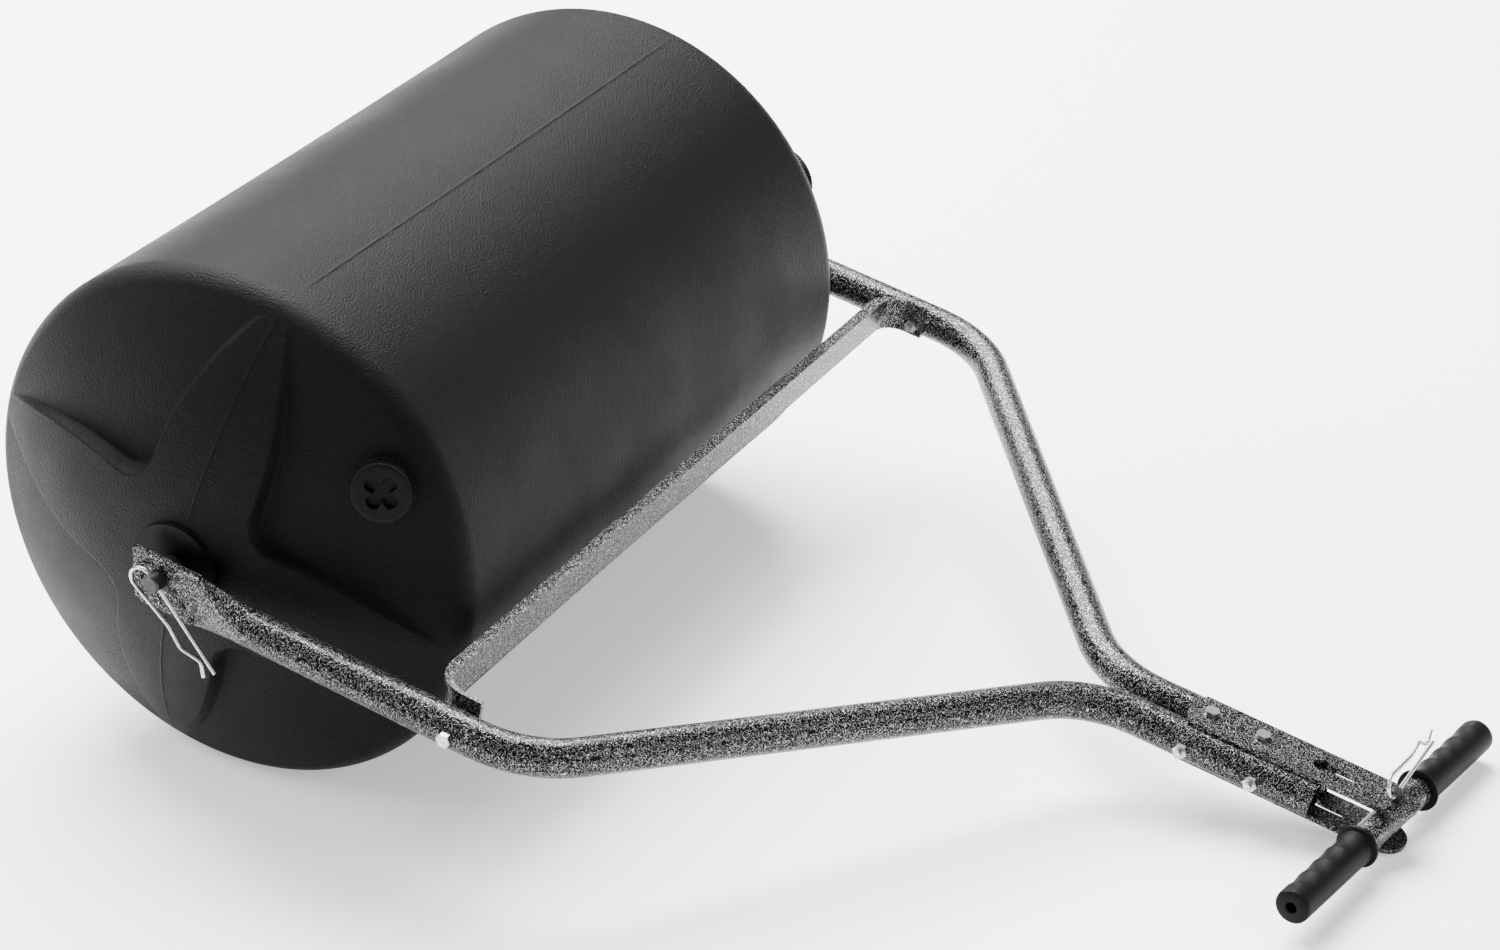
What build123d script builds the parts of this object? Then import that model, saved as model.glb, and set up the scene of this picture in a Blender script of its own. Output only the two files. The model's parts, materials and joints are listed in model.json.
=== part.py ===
from build123d import *
from math import asin, atan2, cos, degrees, hypot, radians, sin, sqrt
import os

os.makedirs("parts", exist_ok=True)

# A water-filled lawn roller: a hollow moulded drum turns on an axle that two bent steel tubes
# carry. The tubes run together into a tongue, and two flat plates on the tongue hold a
# crossbar handle on a hitch pin.
#
# Millimetres. +X runs from the drum towards the handle, +Y is the roller's left, +Z is up, and
# the origin is on the floor under the middle of the roller.

INCH = 25.4

# Drum
drum_radius = 9 * INCH
barrel_waist = 1.5  # how much slimmer the barrel is half way along
wall = 5.0
dome_radius = 377.0  # sphere of each end, which the arms of the star follow
dome_reach = 394.5  # where the dome meets the hub boss
shoulder_round = 25.0
hub_boss_radius = 38.5
hub_boss_rise = 2.2
hub_boss_root = 5.0  # how far the boss reaches back into the dome
floor_radius = 468.0  # flatter sphere of the pocket floors
floor_fade = 218.0  # distance from the axle where the floors run out into the dome
star_turn = 71.8  # degrees from +X up to the first arm of the star
arm_half = 45.0  # half width of an arm near the hub
arm_half_middle = 41.0
arm_half_tip = 10.0
arm_middle = 140.0
arm_tip = 216.0
pocket_corner = 34.0
tunnel_radius = 18.0
tunnel_bore = 10.0
bushing_radius = 14.0
bushing_length = 22.0
bushing_flange_radius = 38.5
bushing_flange = 2.0
overcut = 70.0  # how far the pockets' cutting shapes run past the drum

# Fill plugs
plug_distance = 188.0  # from the axle
pad_radius = 26.0
pad_rise = 1.2
pad_root = 2.0  # how far the pad reaches into the pocket's floor
neck_radius = 22.0
neck_length = 22.0
neck_bore = 17.0
seal_radius = 21.0
seal_bore = 17.2
seal_thickness = 2.0
cap_radius = 25.0
cap_height = 9.0
knurls = 30
knurl_radius = 1.3
knurl_offset = 0.4  # how far outside the cap's edge the knurls are centred
recess_length = 26.0
recess_width = 9.0
recess_depth = 5.0
plug_shank_radius = 16.7
plug_shank_length = 18.0

# Axle and frame
axle_radius = 5 / 16 * INCH
running_bore = 8.0
axle_half = 431.0
axle_chamfer = 1.5
clip_line = 424.0  # distance of the axle clips from the middle
clip_bore = 1.75
spacer_radius = 12.0
side_gap = 0.3  # clearance between the drum's bushings and the spacers

tube_radius = 5 / 8 * INCH
tube_wall = 1.8
tube_spread = 416.0  # distance of each tube from the middle beside the drum
tube_drop = 5.0  # how far the tubes' centre plane runs below the axle
end_thickness = 4.5  # flattened tube end
end_half = 24.0
end_front = 36.0
end_rear_top = -28.3
end_rear_bottom = -19.3
end_corner = 3.0
swage_middle = 58.0
swage_middle_thickness = 9.0
swage_middle_half = 20.5
swage_front = 85.0
bend_start = 344.0
bend_end = 653.0
bend_radius = 95.0
tongue_spread = 19.5
tube_reach = 857.0

# Cross brace
sheet = 4.0
brace_rear = 249.0
brace_front = 290.0
brace_flange = 6.0
brace_low = -10.0
brace_high = 21.0
brace_corner = 20.0
brace_bolt_reach = 280.0

# Hitch plates, pin and handle
plate_thickness = 4.5
plate_half = 20.75
plate_rear = 733.0
plate_clip_side = 12.0
plate_clip_length = 6.0
keyhole_reach = 850.0
keyhole_radius = 7.0
slot_half = 3.5
slot_reach = 878.0
pin_reach = 36 * INCH
pin_radius = 5.0
pin_bore = 5.08
pin_head_radius = 9.0
pin_head = 4.0
pin_gap = 0.3
pin_top = 30.0
pin_clip_height = 26.0
pin_chamfer = 1.2

bar_radius = INCH / 2
bar_wall = 2.0
bar_half = 162.0
handle_turn = 7.4  # degrees that the handle is swung, left end forward
grip_start = 52.0
grip_flange = 4.0
grip_flange_radius = 18.5
grip_radius = 15.0
grip_end = 3.0
grip_vent = 4.7
grip_round = 2.0

# Fasteners, quarter-inch
bolt_radius = INCH / 8
bolt_hole = 3.3
hex_half_flats = 7 / 16 * INCH / 2
head_height = 4.2
nut_height = 4.3
collar_radius = 4.9
collar_height = 1.2
bolt_overrun = 4.0
slack = 0.02  # between faces that meet without pressing
tongue_bolts_at = (743.5, 806.5)
plate_bolts_at = (751.0, 797.0)

# Hairpin clips
wire_radius = 1.6
leg_tip = 88.0  # reach of the straight leg past the hole
bow_end = -17.0
bow_width = 22.0
leg_bends = ((36, 14), (57, 16.5), (74, 5.5), (86, 12.5))  # reach and spread of the sprung leg
bend_rounds = [10.9, 9.4, 30, 8, 6]  # of the two bends of the bow and three of the sprung leg
clip_slope = 54.0  # degrees below +X that the axle clips' straight legs point
hitch_clip_lean = 20.0  # degrees that the bow of the hitch clip leans back

# The frame slopes down from the axle until the head of the hitch pin rests on the floor.
plate_top = tube_radius + plate_thickness
foot_reach = pin_reach + pin_head_radius
foot_drop = tube_drop + plate_top + pin_gap + pin_head
pitch = asin(drum_radius / hypot(foot_drop, foot_reach)) - atan2(foot_drop, foot_reach)

# The handle's leading corner is the front of the roller and the drum is its rear.
swing = radians(handle_turn)
bar_end = bar_half + grip_end
tip_reach = pin_reach + bar_end * sin(swing)
tip_lead = grip_radius * sqrt(1 - (sin(swing) * cos(pitch)) ** 2)
front_reach = tip_reach * cos(pitch) - tube_drop * sin(pitch) + tip_lead
axle_x = (drum_radius - front_reach) / 2

along = Vector(cos(pitch), 0, -sin(pitch))
above = Vector(sin(pitch), 0, cos(pitch))
axle_centre = Vector(axle_x, 0, drum_radius)
drum_axis = Axis(axle_centre, (0, 1, 0))
tube_plane = Plane(axle_centre - above * tube_drop, x_dir=along, z_dir=above)

# Each dome's centre, and each pocket floor's, lies on the axle line.
dome_centre = dome_reach - sqrt(dome_radius**2 - hub_boss_radius**2)
fade_y = dome_centre + sqrt(dome_radius**2 - floor_fade**2)
floor_centre = fade_y - sqrt(floor_radius**2 - floor_fade**2)
hub_face = dome_reach + hub_boss_rise

sides = {"right": -1, "left": 1}


def on_frame(reach, side, height):
    """A point by its distance ahead of the axle, its side and its height on the tubes' plane."""
    return tube_plane.from_local_coords(Vector(reach, side, height))


def upright(side):
    """The plane of the frame's side view: x along the tubes, y away from the floor."""
    return Plane(on_frame(0, side, 0), x_dir=along, z_dir=(0, -1, 0))


def cross_cut(reach, side):
    """A plane square to the tubes, with y across the roller."""
    return Plane(on_frame(reach, side, 0), x_dir=above, z_dir=along)


def axle_plane(side):
    """A plane square to the axle that faces out of the roller on the given side."""
    facing = 1 if side > 0 else -1
    return Plane(axle_centre + Vector(0, side, 0), x_dir=(1, 0, 0), z_dir=(0, facing, 0))


def pocket_plane(quarter):
    """A plane square to the axle whose x and y run along two neighbouring arms of the star."""
    turn = radians(star_turn - 90 * quarter)
    return Plane(axle_centre, x_dir=(cos(turn), 0, sin(turn)), z_dir=(0, 1, 0))


def plug_seat(facing):
    """The flat pad under a fill plug, half way between the upper and the front arm."""
    turn = radians(star_turn - 45)
    radial = Vector(cos(turn), 0, sin(turn))
    out = Vector(0, facing, 0)
    lean = asin(plug_distance / floor_radius)
    normal = radial * sin(lean) + out * cos(lean)
    origin = axle_centre + out * floor_centre + normal * (floor_radius + pad_rise)
    return Plane(origin, x_dir=radial * cos(lean) - out * sin(lean), z_dir=normal)


def revolved_barrel(inset, arm_inset, corner):
    """The drum's solid of revolution, drawn in by inset all round, with rounded shoulders."""
    radius = drum_radius - inset
    sphere = dome_radius - arm_inset
    end_y = dome_centre + sqrt(sphere**2 - radius**2)
    with BuildPart() as barrel:
        with BuildSketch(Plane(axle_centre, x_dir=(1, 0, 0), z_dir=(0, 0, 1))) as profile:
            with BuildLine():
                ThreePointArc((radius, -end_y), (radius - barrel_waist, 0), (radius, end_y))
                for facing in (-1, 1):
                    half = asin(radius / sphere) / 2
                    ThreePointArc(
                        (radius, facing * end_y),
                        (sphere * sin(half), facing * (dome_centre + sphere * cos(half))),
                        (0, facing * (dome_centre + sphere)),
                    )
                Line((0, -dome_centre - sphere), (0, dome_centre + sphere))
            make_face()
            fillet(profile.vertices().group_by(Axis.X)[-1], corner)
        revolve(axis=drum_axis)
    return barrel.part


def pocket(quarter, facing, grown):
    """What a pocket between two arms takes out of the dome, grown on every side."""
    half = arm_half - grown
    half_middle = arm_half_middle - grown
    half_tip = arm_half_tip - grown
    beyond = drum_radius + overcut
    with BuildPart() as hollow:
        with BuildSketch(pocket_plane(quarter)):
            with BuildLine():
                ThreePointArc((half, half), (arm_middle, half_middle), (arm_tip, half_tip))
                Polyline(
                    (arm_tip, half_tip), (beyond, half_tip), (beyond, beyond),
                    (half_tip, beyond), (half_tip, arm_tip),
                )
                ThreePointArc((half_tip, arm_tip), (half_middle, arm_middle), (half, half))
            corner = make_face().vertices().sort_by_distance(axle_centre)[0]
            fillet(corner, pocket_corner + grown)
        extrude(amount=facing * (dome_reach + overcut))
        with Locations(axle_centre + Vector(0, facing * floor_centre, 0)):
            Sphere(floor_radius - grown, mode=Mode.SUBTRACT)
    return hollow.part


def tube_solid(outer, inner):
    """The round part of the left tube, bent in towards the tongue and straight again along it."""
    with BuildPart() as tube:
        with BuildLine() as route:
            FilletPolyline(
                on_frame(swage_front, tube_spread, 0), on_frame(bend_start, tube_spread, 0),
                on_frame(bend_end, tongue_spread, 0), on_frame(tube_reach, tongue_spread, 0),
                radius=bend_radius,
            )
        for run in route.edges():
            with BuildSketch(Plane(run @ 0, x_dir=above, z_dir=run % 0)):
                Circle(outer)
                Circle(inner, mode=Mode.SUBTRACT)
            if run.geom_type == GeomType.LINE:
                extrude(amount=run.length)
            else:
                turning = ((run @ 0) - run.arc_center).cross(run % 0)
                turned = degrees(run.length / bend_radius)
                revolve(axis=Axis(run.arc_center, turning), revolution_arc=turned)
        for side, bolts_at in ((tube_spread, (brace_bolt_reach,)), (tongue_spread, tongue_bolts_at)):
            with BuildSketch(upright(side)):
                with Locations(*[(reach, 0) for reach in bolts_at]):
                    Circle(bolt_hole)
            extrude(amount=2 * tube_radius, both=True, mode=Mode.SUBTRACT)
    return tube.part


def hex_head(seat, height, bore=0):
    """A six-sided head or nut that stands on the seat plane."""
    with BuildPart() as head:
        with BuildSketch(seat):
            RegularPolygon(hex_half_flats, 6, major_radius=False)
            if bore:
                Circle(bore, mode=Mode.SUBTRACT)
        extrude(amount=height)
    return head.part


def bolt(seat, work):
    """A hex bolt with its head on the seat plane and its shank through the work behind it."""
    reach = work + nut_height + collar_height + bolt_overrun
    with BuildPart() as screw:
        add(hex_head(seat, head_height))
        with BuildSketch(seat):
            Circle(bolt_radius)
        extrude(amount=-reach)
    return screw.part


def nut(seat):
    """A lock nut on the seat plane, with its nylon collar outermost."""
    with BuildPart() as piece:
        add(hex_head(seat, nut_height, bolt_radius + slack))
        with BuildSketch(seat.offset(nut_height)):
            Circle(collar_radius)
            Circle(bolt_radius + slack, mode=Mode.SUBTRACT)
        extrude(amount=collar_height)
    return piece.part


def hairpin(plane):
    """A hairpin clip: the straight leg lies along the plane's x and the sprung leg beside it."""
    with BuildPart() as clip:
        with BuildLine(plane) as route:
            FilletPolyline(
                (leg_tip, 0), (bow_end, 0), (bow_end, bow_width), *leg_bends, radius=bend_rounds
            )
        start = Plane(plane.from_local_coords(Vector(leg_tip, 0, 0)), z_dir=-plane.x_dir)
        with BuildSketch(start):
            Circle(wire_radius)
        sweep(path=route.line)
    return clip.part


# Cavity: the room for water inside the drum.
with BuildPart() as cavity:
    add(revolved_barrel(wall, wall, shoulder_round - wall))
    for facing in sides.values():
        for quarter in range(4):
            add(pocket(quarter, facing, wall), mode=Mode.SUBTRACT)

# Drum: the moulded shell with its star of four arms on each end.
with BuildPart() as drum_shell:
    add(revolved_barrel(0, 0, shoulder_round))
    for facing in sides.values():
        with BuildSketch(axle_plane(facing * (dome_reach - hub_boss_root))):
            Circle(hub_boss_radius)
        extrude(amount=hub_boss_root + hub_boss_rise)
        for quarter in range(4):
            add(pocket(quarter, facing, 0), mode=Mode.SUBTRACT)
    add(cavity.part, mode=Mode.SUBTRACT)
    with BuildSketch(axle_plane(hub_face - wall / 2)):
        Circle(tunnel_radius)
    extrude(amount=wall - 2 * hub_face)
    for facing in sides.values():
        seat = plug_seat(facing)
        with BuildSketch(seat):
            Circle(pad_radius)
        extrude(amount=-pad_rise - pad_root)
        with BuildSketch(seat):
            Circle(neck_radius)
        extrude(amount=-neck_length)
        with BuildSketch(seat.offset(pad_root)):
            Circle(neck_bore)
        extrude(amount=-neck_length - 2 * pad_root, mode=Mode.SUBTRACT)
        with BuildSketch(axle_plane(facing * hub_face)):
            Circle(bushing_radius)
        extrude(amount=-bushing_length, mode=Mode.SUBTRACT)
    with BuildSketch(axle_plane(hub_face)):
        Circle(tunnel_bore)
    extrude(amount=-2 * hub_face, mode=Mode.SUBTRACT)
drum_shell.part.label = "drum_shell"
export_step(drum_shell.part, "parts/drum_shell.step")

# Hub bushings: flanged sleeves pressed into the ends of the drum's tunnel.
for name, facing in sides.items():
    with BuildPart() as hub_bushing:
        with BuildSketch(axle_plane(facing * hub_face)):
            Circle(bushing_radius)
        extrude(amount=-bushing_length)
        with BuildSketch(axle_plane(facing * hub_face)):
            Circle(bushing_flange_radius)
        extrude(amount=bushing_flange)
        with BuildSketch(axle_plane(facing * (hub_face + bushing_flange))):
            Circle(running_bore)
        extrude(amount=-bushing_length - bushing_flange, mode=Mode.SUBTRACT)
    hub_bushing.part.label = f"{name}_hub_bushing"
    export_step(hub_bushing.part, f"parts/{name}_hub_bushing.step")

# Fill plugs: a knurled cap with a four-lobed recess, on a sealing ring.
for name, facing in sides.items():
    seat = plug_seat(facing)
    with BuildPart() as plug_seal:
        with BuildSketch(seat):
            Circle(seal_radius)
            Circle(seal_bore, mode=Mode.SUBTRACT)
        extrude(amount=seal_thickness)
    plug_seal.part.label = f"{name}_plug_seal"
    export_step(plug_seal.part, f"parts/{name}_plug_seal.step")

    top = seat.offset(seal_thickness + cap_height)
    with BuildPart() as fill_plug:
        with BuildSketch(seat.offset(seal_thickness)):
            Circle(cap_radius)
            with PolarLocations(cap_radius + knurl_offset, knurls):
                Circle(knurl_radius, mode=Mode.SUBTRACT)
        extrude(amount=cap_height)
        with BuildSketch(seat.offset(seal_thickness)):
            Circle(plug_shank_radius)
        extrude(amount=-plug_shank_length)
        with BuildSketch(top):
            for diagonal in (45, 135):
                SlotOverall(recess_length, recess_width, rotation=diagonal)
        extrude(amount=-recess_depth, mode=Mode.SUBTRACT)
    fill_plug.part.label = f"{name}_fill_plug"
    export_step(fill_plug.part, f"parts/{name}_fill_plug.step")

# Axle: a bar through the drum and both tube ends, cross-drilled for a clip at each end.
clip_along = Vector(cos(radians(clip_slope)), 0, -sin(radians(clip_slope)))
with BuildPart() as axle:
    with BuildSketch(axle_plane(axle_half)):
        Circle(axle_radius)
    extrude(amount=-2 * axle_half)
    chamfer(axle.edges().filter_by(GeomType.CIRCLE), axle_chamfer)
    for side in (-clip_line, clip_line):
        middle = axle_centre + Vector(0, side, 0)
        with BuildSketch(Plane(middle, z_dir=clip_along)):
            Circle(clip_bore)
        extrude(amount=2 * axle_radius, both=True, mode=Mode.SUBTRACT)
axle.part.label = "axle"
export_step(axle.part, "parts/axle.step")

# Axle spacers: plain collars that keep the drum clear of the tubes.
spacer_start = hub_face + bushing_flange + side_gap
spacer_length = tube_spread - end_thickness / 2 - spacer_start
for name, facing in sides.items():
    with BuildPart() as axle_spacer:
        with BuildSketch(axle_plane(facing * spacer_start)):
            Circle(spacer_radius)
            Circle(running_bore, mode=Mode.SUBTRACT)
        extrude(amount=spacer_length)
    axle_spacer.part.label = f"{name}_axle_spacer"
    export_step(axle_spacer.part, f"parts/{name}_axle_spacer.step")

# Axle clips: hairpins through the axle, outside the tube ends.
for name, facing in sides.items():
    origin = axle_centre + Vector(0, facing * clip_line, 0)
    with BuildPart() as axle_clip:
        add(hairpin(Plane(origin, x_dir=clip_along, z_dir=(0, 1, 0))))
    axle_clip.part.label = f"{name}_axle_clip"
    export_step(axle_clip.part, f"parts/{name}_axle_clip.step")

# Frame tubes: one bent tube on each side, its rear end pressed flat over the axle.
with BuildPart() as tube_end:
    with BuildSketch(upright(tube_spread + end_thickness / 2)) as end_outline:
        with BuildLine():
            Polyline(
                (end_front, end_half), (end_rear_top, end_half), (end_rear_bottom, -end_half),
                (end_front, -end_half), (end_front, end_half),
            )
        make_face()
        fillet(end_outline.vertices().sort_by(Axis.X)[:2], end_corner)
        with Locations((0, tube_drop)):
            Circle(running_bore, mode=Mode.SUBTRACT)
    extrude(amount=end_thickness)
with BuildPart() as swage:
    with BuildSketch(cross_cut(end_front, tube_spread)) as flat:
        Ellipse(end_half, end_thickness / 2)
    with BuildSketch(cross_cut(swage_middle, tube_spread)) as half_round:
        Ellipse(swage_middle_half, swage_middle_thickness)
    with BuildSketch(cross_cut(swage_front, tube_spread)) as round_end:
        Circle(tube_radius)
    loft([flat.sketch, half_round.sketch, round_end.sketch])
with BuildPart() as left_frame_tube:
    add(tube_solid(tube_radius, tube_radius - tube_wall))
    add(swage.part)
    add(tube_end.part)
with BuildPart() as right_frame_tube:
    mirror(left_frame_tube.part, about=Plane.XZ)
for name, frame_tube in (("left", left_frame_tube), ("right", right_frame_tube)):
    frame_tube.part.label = f"{name}_frame_tube"
    export_step(frame_tube.part, f"parts/{name}_frame_tube.step")

# Cross brace: a flanged strip between the tubes with a tab bolted to each.
brace_half = tube_spread - tube_radius - slack
flange_rear = brace_rear - brace_flange
with BuildPart() as cross_brace:
    for rear, low, corner in (
        (brace_rear, brace_low, brace_corner + sheet),
        (flange_rear, brace_high - sheet, brace_corner + sheet + brace_flange),
    ):
        with BuildSketch(tube_plane.offset(low)) as outline:
            with Locations(((rear + brace_front) / 2, 0)):
                Rectangle(brace_front - rear, 2 * brace_half)
            fillet(outline.vertices().group_by(Axis.X)[0], corner)
        extrude(amount=brace_high - low)
    inner_rear = brace_rear + sheet
    with BuildSketch(tube_plane.offset(brace_low)) as inner:
        with Locations(((inner_rear + brace_front + sheet) / 2, 0)):
            Rectangle(brace_front + sheet - inner_rear, 2 * (brace_half - sheet))
        fillet(inner.vertices().group_by(Axis.X)[0], brace_corner)
    extrude(amount=brace_high - brace_low, mode=Mode.SUBTRACT)
    with BuildSketch(upright(0)):
        with Locations((brace_bolt_reach, 0)):
            Circle(bolt_hole)
    extrude(amount=tube_spread, both=True, mode=Mode.SUBTRACT)
cross_brace.part.label = "cross_brace"
export_step(cross_brace.part, "parts/cross_brace.step")

# Hitch plates: one above and one below the tongue, with a round nose about the hitch pin.
for name, low in (("upper", tube_radius), ("lower", -plate_top)):
    with BuildPart() as hitch_plate:
        with BuildSketch(tube_plane.offset(low)):
            with BuildLine():
                nose = ThreePointArc(
                    (pin_reach, -plate_half), (pin_reach + plate_half, 0), (pin_reach, plate_half)
                )
                Polyline(
                    nose @ 1,
                    (plate_rear + plate_clip_length, plate_half),
                    (plate_rear, plate_half - plate_clip_side),
                    (plate_rear, plate_clip_side - plate_half),
                    (plate_rear + plate_clip_length, -plate_half),
                    nose @ 0,
                )
            make_face()
            with Locations((keyhole_reach, 0)):
                Circle(keyhole_radius, mode=Mode.SUBTRACT)
            with Locations(((keyhole_reach + slot_reach) / 2, 0)):
                SlotOverall(slot_reach - keyhole_reach + 2 * slot_half, 2 * slot_half, mode=Mode.SUBTRACT)
            with Locations(*[(reach, 0) for reach in plate_bolts_at]):
                Circle(bolt_hole, mode=Mode.SUBTRACT)
            with Locations((pin_reach, 0)):
                Circle(pin_bore, mode=Mode.SUBTRACT)
        extrude(amount=plate_thickness)
    hitch_plate.part.label = f"{name}_hitch_plate"
    export_step(hitch_plate.part, f"parts/{name}_hitch_plate.step")

# Bolts and nuts: across each brace tab, across the tongue and down through the plates.
brace_seat = tube_spread + tube_radius
tongue_seat = tongue_spread + tube_radius
bolted = {
    "brace": [
        (
            Plane(on_frame(brace_bolt_reach, facing * brace_seat, 0), x_dir=along, z_dir=(0, facing, 0)),
            brace_seat - brace_half + sheet,
        )
        for facing in sides.values()
    ],
    "tongue": [
        (Plane(on_frame(reach, tongue_seat, 0), x_dir=along, z_dir=(0, 1, 0)), 2 * tongue_seat)
        for reach in tongue_bolts_at
    ],
    "plate": [
        (Plane(on_frame(reach, 0, plate_top), x_dir=along, z_dir=above), 2 * plate_top)
        for reach in plate_bolts_at
    ],
}
for name, places in bolted.items():
    with BuildPart() as bolts:
        for seat, work in places:
            add(bolt(seat, work))
    bolts.part.label = f"{name}_bolts"
    export_step(bolts.part, f"parts/{name}_bolts.step")

    with BuildPart() as nuts:
        for seat, work in places:
            add(nut(Plane(seat.offset(-work).origin, x_dir=along, z_dir=-seat.z_dir)))
    nuts.part.label = f"{name}_nuts"
    export_step(nuts.part, f"parts/{name}_nuts.step")

# Hitch pin: a headed pin up through both plates and the handle, cross-drilled near its top.
pin_start = -plate_top - pin_gap
with BuildPart() as hitch_pin:
    with BuildSketch(tube_plane.offset(pin_start - pin_head)):
        with Locations((pin_reach, 0)):
            Circle(pin_head_radius)
    extrude(amount=pin_head)
    with BuildSketch(tube_plane.offset(pin_start)):
        with Locations((pin_reach, 0)):
            Circle(pin_radius)
    extrude(amount=pin_top - pin_start)
    chamfer(hitch_pin.edges().sort_by(Axis(axle_centre, above))[-1], pin_chamfer)
    with BuildSketch(Plane(on_frame(pin_reach, 0, pin_clip_height), z_dir=(0, 1, 0))):
        Circle(clip_bore)
    extrude(amount=2 * pin_radius, both=True, mode=Mode.SUBTRACT)
hitch_pin.part.label = "hitch_pin"
export_step(hitch_pin.part, "parts/hitch_pin.step")

# Hitch clip: a hairpin across the pin's top, its bow standing up and leaning back.
lean = radians(hitch_clip_lean)
bow_up = above * cos(lean) - along * sin(lean)
clip_normal = Vector(0, 1, 0).cross(bow_up)
with BuildPart() as hitch_clip:
    add(hairpin(Plane(on_frame(pin_reach, 0, pin_clip_height), x_dir=(0, 1, 0), z_dir=clip_normal)))
hitch_clip.part.label = "hitch_clip"
export_step(hitch_clip.part, "parts/hitch_clip.step")

# Handle: a crossbar on the hitch pin with a rubber grip on each end.
bar_axis = Vector(0, 1, 0) * cos(swing) + along * sin(swing)
bar_centre = on_frame(pin_reach, 0, 0)


def bar_plane(distance, facing):
    """A plane square to the handle at a distance from the pin, facing out of its end."""
    return Plane(bar_centre + bar_axis * (facing * distance), x_dir=above, z_dir=bar_axis * facing)


with BuildPart() as handle_bar:
    with BuildSketch(bar_plane(bar_half, 1)):
        Circle(bar_radius)
        Circle(bar_radius - bar_wall, mode=Mode.SUBTRACT)
    extrude(amount=-2 * bar_half)
    with BuildSketch(Plane(bar_centre, z_dir=above)):
        Circle(pin_bore)
    extrude(amount=2 * bar_radius, both=True, mode=Mode.SUBTRACT)
handle_bar.part.label = "handle_bar"
export_step(handle_bar.part, "parts/handle_bar.step")

for name, facing in sides.items():
    with BuildPart() as grip:
        with BuildSketch(bar_plane(grip_start, facing)):
            Circle(grip_flange_radius)
        extrude(amount=grip_flange)
        with BuildSketch(bar_plane(grip_start, facing)):
            Circle(grip_radius)
        extrude(amount=bar_end - grip_start)
        rim = grip.edges().filter_by(GeomType.CIRCLE).sort_by(Axis(bar_centre, bar_axis * facing))[-1]
        fillet(rim, grip_round)
        with BuildSketch(bar_plane(grip_start, facing)):
            Circle(bar_radius)
        extrude(amount=bar_half - grip_start, mode=Mode.SUBTRACT)
        with BuildSketch(bar_plane(grip_start, facing)):
            Circle(grip_vent)
        extrude(amount=bar_end - grip_start, mode=Mode.SUBTRACT)
    grip.part.label = f"{name}_grip"
    export_step(grip.part, f"parts/{name}_grip.step")
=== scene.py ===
"""A water-filled lawn roller on a pale studio floor. Metres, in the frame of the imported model."""

import json
import math

import bpy
import numpy as np
from mathutils import Matrix, Vector


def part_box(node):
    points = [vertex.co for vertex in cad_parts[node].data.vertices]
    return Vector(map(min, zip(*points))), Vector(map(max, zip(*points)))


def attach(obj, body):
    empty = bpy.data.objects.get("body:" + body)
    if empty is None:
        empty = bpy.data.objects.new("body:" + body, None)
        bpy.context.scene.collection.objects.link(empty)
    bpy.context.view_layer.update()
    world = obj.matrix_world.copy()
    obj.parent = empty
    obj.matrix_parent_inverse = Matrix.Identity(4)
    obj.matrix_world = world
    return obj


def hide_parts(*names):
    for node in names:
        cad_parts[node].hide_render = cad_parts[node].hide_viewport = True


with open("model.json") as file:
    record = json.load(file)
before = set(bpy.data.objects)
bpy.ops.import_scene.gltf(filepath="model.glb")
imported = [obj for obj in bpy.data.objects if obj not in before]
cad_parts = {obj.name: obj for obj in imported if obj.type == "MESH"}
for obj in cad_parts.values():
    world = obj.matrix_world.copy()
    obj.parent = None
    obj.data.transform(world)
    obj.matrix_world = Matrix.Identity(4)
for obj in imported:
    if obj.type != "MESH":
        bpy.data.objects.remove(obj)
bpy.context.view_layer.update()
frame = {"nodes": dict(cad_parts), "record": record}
SIDES = {"right": -1, "left": 1}


# ---------------------------------------------------------------- measures from the frame

def middle(node):
    low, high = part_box(node)
    return (low + high) / 2


AXLE = middle("axle")
HITCH = middle("handle_bar")
PITCH = math.radians(12.485)  # slope of the frame, from the axle down to the hitch
SWING = math.radians(7.4)  # of the handle, left end forward
ALONG = Vector((math.cos(PITCH), 0, -math.sin(PITCH)))
ABOVE = Vector((math.sin(PITCH), 0, math.cos(PITCH)))


# ---------------------------------------------------------------- materials

PLASTIC_SPECULAR = 0.06
WEAR_SCALE = 14.0
SCRATCH_SCALE = 2600.0
SCRATCH_DEPTH = 0.00004
HAMMER_SCALE = 470.0
HAMMER_DEPTH = 0.0008
PUDDLE = 0.001
WORM = 0.60


def new_material(name):
    material = bpy.data.materials.new(name)
    material.use_nodes = True
    tree = material.node_tree
    shader = next(node for node in tree.nodes if node.type == "BSDF_PRINCIPLED")
    return material, tree, shader


def texture(tree, kind, **values):
    """A procedural texture node on object coordinates, which are metres."""
    node = tree.nodes.new(kind)
    place = tree.nodes.new("ShaderNodeTexCoord")
    tree.links.new(place.outputs["Object"], node.inputs["Vector"])
    for name, value in values.items():
        if name in node.inputs:
            node.inputs[name].default_value = value
        else:
            setattr(node, name, value)
    return node


def ramp(tree, source, stops):
    """A colour ramp on a texture's output: stops are (position, colour)."""
    node = tree.nodes.new("ShaderNodeValToRGB")
    tree.links.new(source, node.inputs["Fac"])
    while len(node.color_ramp.elements) < len(stops):
        node.color_ramp.elements.new(0.5)
    for element, (position, colour) in zip(node.color_ramp.elements, stops):
        element.position = position
        element.color = (*colour, 1)
    return node.outputs["Color"]


def grey(value):
    return (value, value, value)


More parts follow.
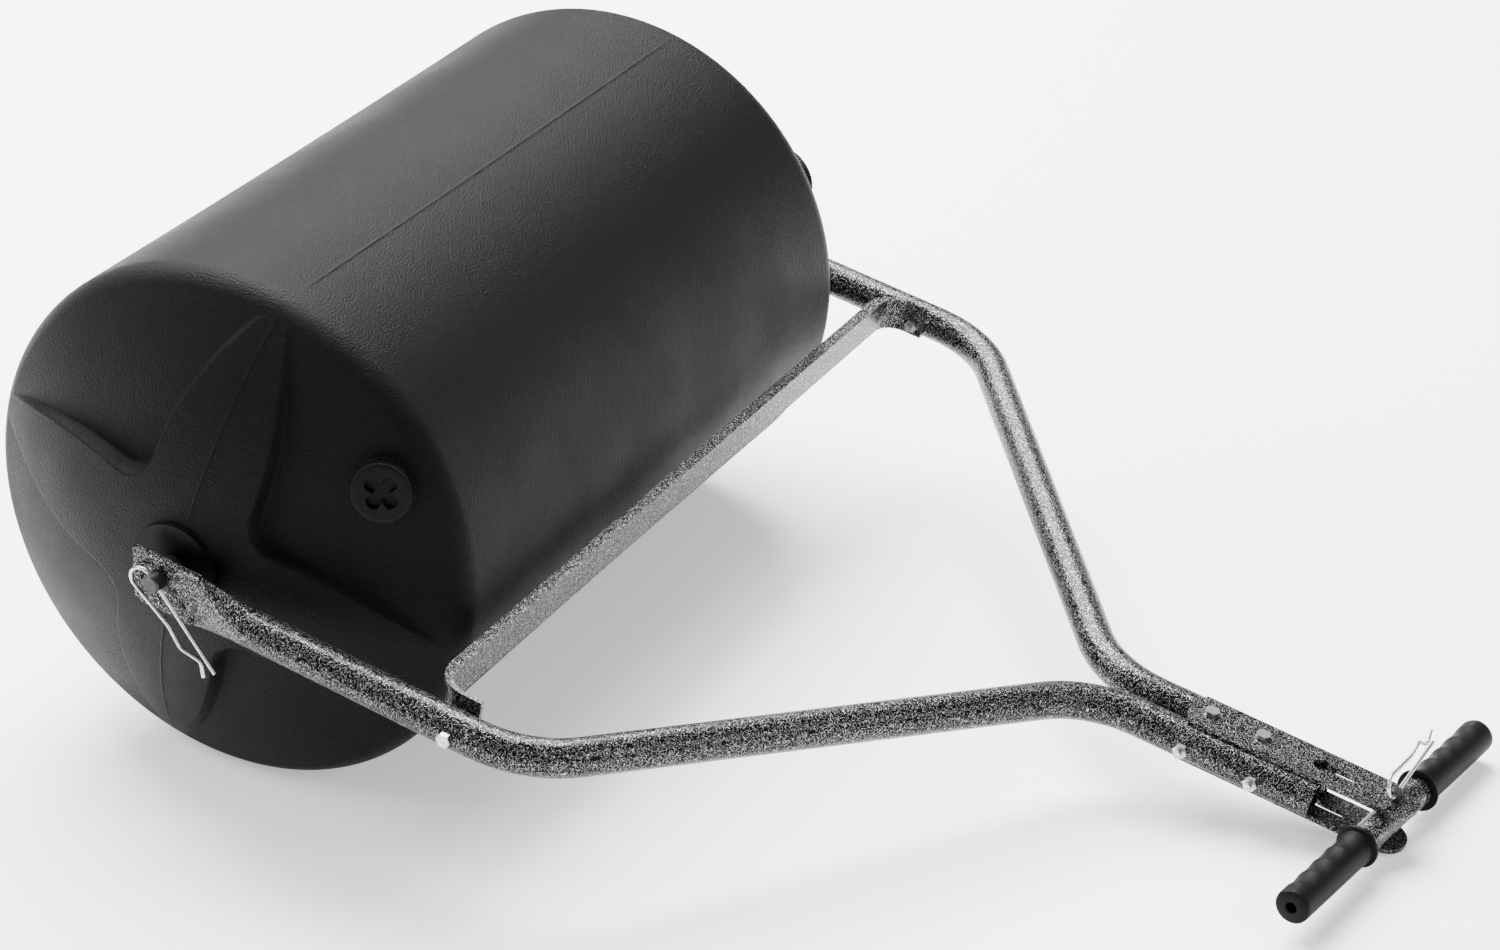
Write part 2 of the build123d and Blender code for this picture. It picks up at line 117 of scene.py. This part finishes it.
def bump(tree, shader, height, depth, strength=1.0):
    node = tree.nodes.new("ShaderNodeBump")
    node.inputs["Strength"].default_value = strength
    node.inputs["Distance"].default_value = depth
    tree.links.new(height, node.inputs["Height"])
    if shader.inputs["Normal"].is_linked:
        tree.links.new(shader.inputs["Normal"].links[0].from_socket, node.inputs["Normal"])
    tree.links.new(node.outputs["Normal"], shader.inputs["Normal"])


def moulded_plastic(name, shade, roughness, grain, grain_depth):
    """Dark moulded plastic with a pebbled skin and slight patches of wear."""
    material, tree, shader = new_material(name)
    patches = texture(tree, "ShaderNodeTexNoise", Scale=WEAR_SCALE, Detail=5.0)
    darker, lighter, spread = shade * 0.85, shade * 1.2, 0.05
    tint = ramp(tree, patches.outputs["Fac"], [(0.35, grey(darker)), (0.7, grey(lighter))])
    tree.links.new(tint, shader.inputs["Base Color"])
    gloss_stops = [(0.3, grey(roughness - spread)), (0.7, grey(roughness + spread))]
    gloss = ramp(tree, patches.outputs["Fac"], gloss_stops)
    tree.links.new(gloss, shader.inputs["Roughness"])
    shader.inputs["Specular IOR Level"].default_value = PLASTIC_SPECULAR
    pebbles = texture(tree, "ShaderNodeTexNoise", Scale=grain, Detail=3.0, Roughness=0.55)
    bump(tree, shader, pebbles.outputs["Fac"], grain_depth)
    return material


def hammertone():
    """Hammered enamel: black puddles with bright silvery worms between them, under a thin coat."""
    material, tree, shader = new_material("hammertone")
    warp = texture(tree, "ShaderNodeTexNoise", Scale=HAMMER_SCALE, Detail=0.0, Distortion=0.5)
    dark = grey(PUDDLE)
    worm_stops = [(0.42, dark), (0.505, dark), (0.53, grey(WORM)), (0.56, dark), (0.70, dark)]
    worms = ramp(tree, warp.outputs["Fac"], worm_stops)
    flake_stops = [(0.51, grey(0)), (0.53, grey(0.8)), (0.56, grey(0))]
    flakes = ramp(tree, warp.outputs["Fac"], flake_stops)
    tree.links.new(worms, shader.inputs["Base Color"])
    tree.links.new(flakes, shader.inputs["Metallic"])
    shader.inputs["Roughness"].default_value = 0.3
    shader.inputs["Specular IOR Level"].default_value = 0.05
    shader.inputs["Coat Weight"].default_value = 0.18
    shader.inputs["Coat Roughness"].default_value = 0.16
    bump(tree, shader, warp.outputs["Fac"], HAMMER_DEPTH, strength=0.7)
    return material


def plated(name, shade, roughness, mottle):
    """Bare or plated metal with fine scratches and a little mottling."""
    material, tree, shader = new_material(name)
    shader.inputs["Metallic"].default_value = 1.0
    clouds = texture(tree, "ShaderNodeTexNoise", Scale=mottle, Detail=6.0)
    dark = tuple(channel * 0.6 for channel in shade)
    dull = roughness + 0.1
    tint = ramp(tree, clouds.outputs["Fac"], [(0.3, dark), (0.65, shade)])
    tree.links.new(tint, shader.inputs["Base Color"])
    gloss = ramp(tree, clouds.outputs["Fac"], [(0.3, grey(dull)), (0.7, grey(roughness))])
    tree.links.new(gloss, shader.inputs["Roughness"])
    scratches = texture(tree, "ShaderNodeTexNoise", Scale=SCRATCH_SCALE, Detail=2.0)
    bump(tree, shader, scratches.outputs["Fac"], SCRATCH_DEPTH, strength=0.5)
    return material


FINISHES = {
    "moulded_plastic": moulded_plastic(
        "drum_plastic", shade=0.0016, roughness=0.46, grain=620.0, grain_depth=0.0012
    ),
    "bushing_plastic": moulded_plastic(
        "bushing_plastic", shade=0.002, roughness=0.4, grain=900.0, grain_depth=0.0001
    ),
    "plug_plastic": moulded_plastic(
        "plug_plastic", shade=0.003, roughness=0.36, grain=700.0, grain_depth=0.0003
    ),
    "seal_rubber": moulded_plastic(
        "seal_rubber", shade=0.004, roughness=0.6, grain=900.0, grain_depth=0.0002
    ),
    "grip_vinyl": moulded_plastic(
        "grip_vinyl", shade=0.003, roughness=0.5, grain=900.0, grain_depth=0.0003
    ),
    "hammertone_paint": hammertone(),
    "zinc_plate": plated("zinc_plate", shade=(0.50, 0.50, 0.48), roughness=0.24, mottle=240.0),
    "plain_steel": plated("plain_steel", shade=(0.05, 0.05, 0.05), roughness=0.42, mottle=160.0),
}


def paint(thing, name):
    thing.data.materials.clear()
    thing.data.materials.append(FINISHES[name])


SLOTS = {part["node"]: part["material_slot"] for part in frame["record"]["subparts"]}
for node, thing in frame["nodes"].items():
    paint(thing, SLOTS[node])


# ---------------------------------------------------------------- mesh helpers

SHARP_ANGLE = math.radians(40)


def mesh_object(name, points, faces, finish, body, nodes=()):
    """A smooth-shaded mesh that rides on a body and stands in for the named nodes."""
    mesh = bpy.data.meshes.new(name)
    corners = [tuple(map(float, point)) for point in points]
    loops = [tuple(map(int, face)) for face in faces]
    mesh.from_pydata(corners, [], loops)
    mesh.validate()
    mesh.shade_smooth()
    mesh.set_sharp_from_angle(angle=SHARP_ANGLE)
    thing = bpy.data.objects.new(name, mesh)
    bpy.context.scene.collection.objects.link(thing)
    paint(thing, finish)
    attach(thing, body)
    if nodes:
        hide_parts(*nodes)
    return thing


def lathe_faces(rings, around, closed=False):
    """Quads between rings of points that each go once around."""
    faces = []
    for ring in range(rings if closed else rings - 1):
        start = ring * around
        after = (ring + 1) % rings * around
        for step in range(around):
            turn = (step + 1) % around
            faces.append((start + step, start + turn, after + turn, after + step))
    return faces


def turned(
    name, origin, normal, tangent, outline, around, finish, body,
    nodes=(), closed=True, flute=None, lift=None,
):
    """A piece turned about normal from an outline of (radius, height) points.

    flute changes the radius with the angle, and lift changes the height.
    """
    other = normal.cross(tangent)
    rows = []
    for radius, height in outline:
        for step in range(around):
            angle = 2 * math.pi * step / around
            out = radius if flute is None else flute(radius, height, angle)
            level = height if lift is None else lift(radius, height, angle)
            spoke = tangent * math.cos(angle) + other * math.sin(angle)
            rows.append(origin + normal * level + spoke * out)
    return mesh_object(name, rows, lathe_faces(len(outline), around, closed), finish, body, nodes)


# ---------------------------------------------------------------- drum

BARREL = 0.2286
WAIST = 0.0015  # how much slimmer the barrel is half way along
SHOULDER = 0.025
HUB = 0.0385
HUB_EDGE = 0.001  # width of the hub's broken edge
HUB_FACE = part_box("drum_shell")[1].y
BORE = 0.0102
DOME = 0.377  # sphere of each end, which the star's arms follow
DOME_REACH = 0.3945  # where the dome meets the hub
DOME_CENTRE = DOME_REACH - math.sqrt(DOME**2 - HUB**2)
FLOOR = 0.468  # flatter sphere of the pocket floors
FADE = 0.218  # distance from the axle where the floors run out into the dome
FLOOR_CENTRE = DOME_CENTRE + math.sqrt(DOME**2 - FADE**2) - math.sqrt(FLOOR**2 - FADE**2)
STAR = math.radians(71.8)  # from the front up to the first arm of the star
ARM_POINTS = ((0.045, 0.045), (0.140, 0.041), (0.216, 0.010))  # reach and half width
ARM_SPAN = (0.03, 0.23)  # beyond these reaches the half width stays as it is
POCKET_CORNER = 0.034
WALL_LEAD = 0.0008  # how far outside a pocket's outline its wall begins
WALL_RUN = 0.0055
SEAM_HEIGHT = 0.0006
SEAM_HALF = 0.0016
AROUND = 960
HUB_RINGS = (0.0385, 0.042, 0.047, 0.053, 0.059, 0.065)
FIRST_FINE_RING = 0.068
RING_STEP = 0.0015
SHOULDER_RINGS = 14
BARREL_RINGS = 33
PLUG_TURN = STAR - math.radians(45)
PLUG_OUT = 0.188
PLUG_HOLE = 0.0195
PLUG_HOLE_DEPTH = 0.02


def arm_half(reach):
    """Half the width of a star arm at a distance along it: a curve through three points."""
    (x1, y1), (x2, y2), (x3, y3) = ARM_POINTS
    curve = np.polyfit((x1, x2, x3), (y1, y2, y3), 2)
    return np.polyval(curve, np.clip(reach, *ARM_SPAN))


def pocket_share(radius, turn):
    """0 on the arms of the star, 1 on the pocket floors, and between the two on the walls."""
    first = np.abs(radius * np.cos(turn - STAR))
    second = np.abs(radius * np.sin(turn - STAR))
    gap_one = second - arm_half(first)
    gap_two = first - arm_half(second)
    short_one = np.maximum(POCKET_CORNER - gap_one, 0)
    short_two = np.maximum(POCKET_CORNER - gap_two, 0)
    room = np.hypot(short_one, short_two)
    inside = np.where(room > 0, POCKET_CORNER - room, np.minimum(gap_one, gap_two))
    share = np.clip((inside + WALL_LEAD) / WALL_RUN, 0, 1)
    return share * share * (3 - 2 * share)


def seam_rise(radius, turn):
    """The fine parting line that runs round the drum through two opposite arms."""
    away = np.abs(radius * np.sin(turn - STAR))
    return SEAM_HEIGHT * np.clip(1 - away / SEAM_HALF, 0, 1)


def end_rings():
    """(radius, distance from the middle) of each ring from the hub out to the barrel.

    The distance is None where the star sets it.
    """
    rings = [(radius, None) for radius in HUB_RINGS]
    rings += [(float(radius), None) for radius in np.arange(FIRST_FINE_RING, FADE, RING_STEP)]
    inner = BARREL - SHOULDER
    fillet_y = DOME_CENTRE + math.sqrt((DOME - SHOULDER) ** 2 - inner**2)
    lean = math.atan2(inner, fillet_y - DOME_CENTRE)
    for share in np.linspace(0, 1, SHOULDER_RINGS):
        turn = lean + (math.pi / 2 - lean) * share
        rings.append((inner + SHOULDER * math.sin(turn), fillet_y + SHOULDER * math.cos(turn)))
    return rings


def plug_frame(facing):
    """Origin on the pocket floor under a fill plug, its outward normal and a tangent."""
    radial = Vector((math.cos(PLUG_TURN), 0, math.sin(PLUG_TURN)))
    out = Vector((0, facing, 0))
    lean = math.asin(PLUG_OUT / FLOOR)
    normal = radial * math.sin(lean) + out * math.cos(lean)
    origin = AXLE + Vector((0, facing * FLOOR_CENTRE, 0)) + normal * FLOOR
    return origin, normal, radial * math.cos(lean) - out * math.sin(lean)


def make_drum():
    """The drum's whole skin: rings from one bore over both ends and the barrel to the other bore."""
    turns = np.linspace(0, 2 * math.pi, AROUND, endpoint=False) + STAR
    profile = end_rings()
    rows = []

    def add_ring(radius, height):
        radii = np.broadcast_to(radius, turns.shape)
        heights = np.broadcast_to(height, turns.shape)
        rows.append(np.stack([
            AXLE.x + radii * np.cos(turns), heights, AXLE.z + radii * np.sin(turns),
        ], axis=1))

    def end_height(radius):
        dome = DOME_CENTRE + math.sqrt(DOME**2 - radius**2)
        depth = dome - FLOOR_CENTRE - math.sqrt(FLOOR**2 - radius**2)
        share = pocket_share(radius, turns)
        return dome - max(depth, 0) * share + seam_rise(radius, turns) * (1 - share)

    def end(facing):
        edge = (HUB - 0.2 * HUB_EDGE, HUB_FACE - 0.6 * HUB_EDGE)
        hub = [(BORE, HUB_FACE), (HUB - HUB_EDGE, HUB_FACE), edge]
        steps = [(radius, facing * height) for radius, height in hub]
        for radius, height in profile:
            steps.append((radius, facing * (end_height(radius) if height is None else height)))
        return steps

    for radius, height in end(-1):
        add_ring(radius, height)
    shoulder = profile[-1][1]
    for share in np.linspace(-1, 1, BARREL_RINGS)[1:-1]:
        waist = WAIST * (1 - share**2)
        add_ring(BARREL - waist + seam_rise(BARREL, turns), share * shoulder)
    for radius, height in reversed(end(1)):
        add_ring(radius, height)
    points = np.concatenate(rows)
    faces = np.array(lathe_faces(len(rows), AROUND, closed=True))
    centres = points[faces].mean(axis=1)
    keep = np.ones(len(faces), bool)
    for facing in SIDES.values():
        origin, normal, _ = plug_frame(facing)
        offset = centres - np.array(origin)
        along = offset @ np.array(normal)
        aside = np.linalg.norm(offset - np.outer(along, np.array(normal)), axis=1)
        keep &= ~((aside < PLUG_HOLE) & (np.abs(along) < PLUG_HOLE_DEPTH))
    mesh_object("drum_skin", points, faces[keep], "moulded_plastic", "drum", ["drum_shell"])


# ---------------------------------------------------------------- fill plugs

PLUG_AROUND = 360
SEAT_AROUND = 96
SEAT_OUTLINE = [
    (0.0170, -0.020), (0.0170, 0.0009), (0.0173, 0.0012), (0.0250, 0.0012), (0.0258, 0.0008),
    (0.0262, -0.0002), (0.0266, -0.002), (0.0220, -0.0025), (0.0220, -0.020),
]
CAP_RADIUS = 0.025
CAP_FOOT = 0.0032
CAP_TOP = 0.0122
SHANK_OUTLINE = [(0.0002, -0.0148), (0.0160, -0.0148), (0.0167, -0.0140), (0.0167, CAP_FOOT)]
CAP_OUTLINE = [
    (0.0244, CAP_FOOT), (CAP_RADIUS, CAP_FOOT + 0.0006), (CAP_RADIUS, CAP_TOP - 0.0016),
    (0.0248, CAP_TOP - 0.0008), (0.0240, CAP_TOP - 0.0002), (0.0230, CAP_TOP), (0.0205, CAP_TOP),
]
FACE_RINGS = (0.0190, 0.0001, -0.0004)  # first radius, limit and step of the rings on the face
KNURLS = 60
KNURL_DEPTH = 0.00035
KNURL_START = 0.0235
KNURL_LEAD = 0.0005
RECESS = 0.005
RECESS_LIMIT = 0.02
RECESS_CORE = 0.004  # the lobes run together inside this radius
RECESS_WALL = 0.0006
LOBE_TURN = math.radians(24)
LOBE_HALF = 0.0034
LOBE_FLARE = 0.0022
LOBE_SHOULDER = 0.0100
LOBE_TIP = 0.0148
TIP_WIDENING = 0.85
TIP_INSET = 0.0002
FACE_MARGIN = 0.0001


def knurled(radius, height, angle):
    """The cap's side is ribbed from just above its foot up over its edge."""
    if radius < KNURL_START or height < CAP_FOOT + KNURL_LEAD:
        return radius
    return radius - KNURL_DEPTH * (1 + math.cos(KNURLS * angle))


def lobed(radius, height, angle):
    """The cap's face falls into a recess of four flared lobes."""
    if height < CAP_TOP - FACE_MARGIN or radius > RECESS_LIMIT:
        return height
    turn = (angle - LOBE_TURN + math.pi / 4) % (math.pi / 2) - math.pi / 4
    reach = radius * math.cos(turn)
    side = abs(radius * math.sin(turn))
    half = LOBE_HALF + LOBE_FLARE * min(reach / LOBE_SHOULDER, 1)
    rounding = math.hypot(max(reach - LOBE_SHOULDER, 0), side * TIP_WIDENING)
    tip = LOBE_TIP - max(rounding + LOBE_SHOULDER - TIP_INSET, reach)
    inside = min(half - side, tip) if radius > RECESS_CORE else RECESS_WALL
    share = min(max(inside / RECESS_WALL + 0.5, 0), 1)
    return height - RECESS * share * share * (3 - 2 * share)


make_drum()
face_outline = [(float(radius), CAP_TOP) for radius in np.arange(*FACE_RINGS)]
for side, facing in SIDES.items():
    turned(
        f"{side}_plug_seat", *plug_frame(facing), SEAT_OUTLINE, SEAT_AROUND,
        "moulded_plastic", "drum",
    )
    turned(
        f"{side}_plug_cap", *plug_frame(facing), SHANK_OUTLINE + CAP_OUTLINE + face_outline,
        PLUG_AROUND, "plug_plastic", f"{side}_plug",
        [f"{side}_fill_plug"], closed=False, flute=knurled, lift=lobed,
    )


# ---------------------------------------------------------------- grips

BAR_AXIS = Vector((math.sin(SWING) * ALONG.x, math.cos(SWING), math.sin(SWING) * ALONG.z))
GRIP_AROUND = 72
GRIP_FLANGE = [
    (0.0128, 0.052), (0.0172, 0.052), (0.0183, 0.0525), (0.0185, 0.0538), (0.0181, 0.0552),
    (0.0165, 0.0560), (0.0152, 0.0566), (0.0149, 0.058),
]
GRIP_RADIUS = 0.01495
GRIP_RINGS = (0.060, 0.161, 0.0015)  # first reach, limit and step of the rings along the sleeve
GRIP_END = [
    (0.0146, 0.1632), (0.0138, 0.1643), (0.0127, 0.1650), (0.0050, 0.1650), (0.0047, 0.1646),
    (0.0047, 0.1622), (0.0128, 0.1621),
]
SLEEVE_SKIN = 0.0146  # radius from which a point is on the outside of the sleeve
DIP_START = 0.062
DIP_END = 0.150
DIP_LENGTH = 0.022
DIP_DEPTH = 0.0016
DIP_SPREAD = 1.05
DIP_LEAN = math.radians(35)
FLAT_START = 0.153
FLAT_DISTANCE = 0.0139


def finger_dips(facing):
    """Four shallow finger hollows along the top of a grip, leaning back, and a flat at its end."""
    def radius_at(radius, height, angle):
        if height < DIP_START or radius < SLEEVE_SKIN:
            return radius
        leaned = angle + facing * DIP_LEAN
        away = math.atan2(math.sin(leaned), math.cos(leaned))
        if height < DIP_END:
            share = max(0.0, 1 - (away / DIP_SPREAD) ** 2)
            wave = abs(math.sin(math.pi * (height - DIP_START) / DIP_LENGTH))
            return radius - DIP_DEPTH * share * wave
        flat = FLAT_DISTANCE / max(math.cos(away), 0.5)
        return min(radius, flat) if height > FLAT_START else radius
    return radius_at


sleeve_outline = [(GRIP_RADIUS, float(reach)) for reach in np.arange(*GRIP_RINGS)]
for side, facing in SIDES.items():
    turned(
        f"{side}_grip_sleeve", HITCH, BAR_AXIS * facing, ABOVE,
        GRIP_FLANGE + sleeve_outline + GRIP_END, GRIP_AROUND, "grip_vinyl", "handle",
        [f"{side}_grip"], flute=finger_dips(facing),
    )


# ---------------------------------------------------------------- broken edges of the metal pieces

EDGE_WIDTH = 0.0005
EDGE_ANGLE = math.radians(45)

for node in (
    "cross_brace", "upper_hitch_plate", "lower_hitch_plate",
    "brace_bolts", "brace_nuts", "tongue_bolts", "tongue_nuts", "plate_bolts", "plate_nuts",
):
    edge = frame["nodes"][node].modifiers.new("edge", "BEVEL")
    edge.width = EDGE_WIDTH
    edge.segments = 2
    edge.limit_method = "ANGLE"
    edge.angle_limit = EDGE_ANGLE
    edge.use_clamp_overlap = True


# ---------------------------------------------------------------- studio

FLOOR_HALF = 12.0
FLOOR_SHADE = grey(0.92)
FLOOR_ROUGHNESS = 0.7
FLOOR_GLOW = 0.5
WORLD_STRENGTH = 0.55


def make_floor():
    """A flat, nearly white floor that glows a little, so that it stays pale under soft light."""
    half = FLOOR_HALF
    mesh = bpy.data.meshes.new("floor")
    corners = [(-half, -half, 0), (half, -half, 0), (half, half, 0), (-half, half, 0)]
    mesh.from_pydata(corners, [], [(0, 1, 2, 3)])
    floor = bpy.data.objects.new("floor", mesh)
    bpy.context.scene.collection.objects.link(floor)
    material, _, shader = new_material("floor")
    shader.inputs["Base Color"].default_value = (*FLOOR_SHADE, 1)
    shader.inputs["Roughness"].default_value = FLOOR_ROUGHNESS
    shader.inputs["Emission Color"].default_value = (1, 1, 1, 1)
    shader.inputs["Emission Strength"].default_value = FLOOR_GLOW
    floor.data.materials.append(material)


def area_light(name, place, aim, size, power):
    lamp = bpy.data.lights.new(name, "AREA")
    lamp.shape = "RECTANGLE"
    lamp.size, lamp.size_y = size
    lamp.energy = power
    thing = bpy.data.objects.new(name, lamp)
    thing.location = place
    thing.rotation_euler = (Vector(aim) - Vector(place)).to_track_quat("-Z", "Y").to_euler()
    bpy.context.scene.collection.objects.link(thing)


def make_world():
    world = bpy.data.worlds.new("studio")
    world.use_nodes = True
    background = world.node_tree.nodes["Background"]
    background.inputs["Color"].default_value = (1, 1, 1, 1)
    background.inputs["Strength"].default_value = WORLD_STRENGTH
    bpy.context.scene.world = world


def make_camera():
    """The camera looks down at the right-hand side of the roller from in front of the drum."""
    turn, rise, roll = 0.492558, 0.481606, -0.014309  # radians
    lift = math.radians(0.357)  # turns the view about the axle
    eye = Vector((1.72263, -2.63157, 1.53039))
    level_share = math.cos(rise)
    back = Vector((math.sin(turn) * level_share, -math.cos(turn) * level_share, math.sin(rise)))
    level = Vector((math.cos(turn), math.sin(turn), 0))
    upward = back.cross(level)
    right = level * math.cos(roll) + upward * math.sin(roll)
    up = upward * math.cos(roll) - level * math.sin(roll)
    tilt = Matrix.Rotation(-lift, 4, "Y")
    basis = Matrix((right, up, back)).transposed().to_4x4()
    camera = bpy.data.cameras.new("camera")
    camera.sensor_width = 36.0
    camera.lens = 95.36
    camera.clip_end = 100
    thing = bpy.data.objects.new("camera", camera)
    thing.matrix_world = Matrix.Translation(AXLE) @ tilt @ Matrix.Translation(eye) @ basis
    bpy.context.scene.collection.objects.link(thing)
    bpy.context.scene.camera = thing


make_floor()
make_world()
area_light("sky", place=(-1.6, 1.4, 3.4), aim=(-0.1, 0, 0), size=(3.6, 3.2), power=1150)
area_light("key", place=(-2.6, -1.4, 2.2), aim=(-0.3, -0.3, 0.2), size=(1.2, 1.2), power=80)
area_light("front", place=(3.0, -0.8, 1.8), aim=(0, 0, 0.2), size=(1.6, 1.2), power=40)
make_camera()

bpy.context.view_layer.update()
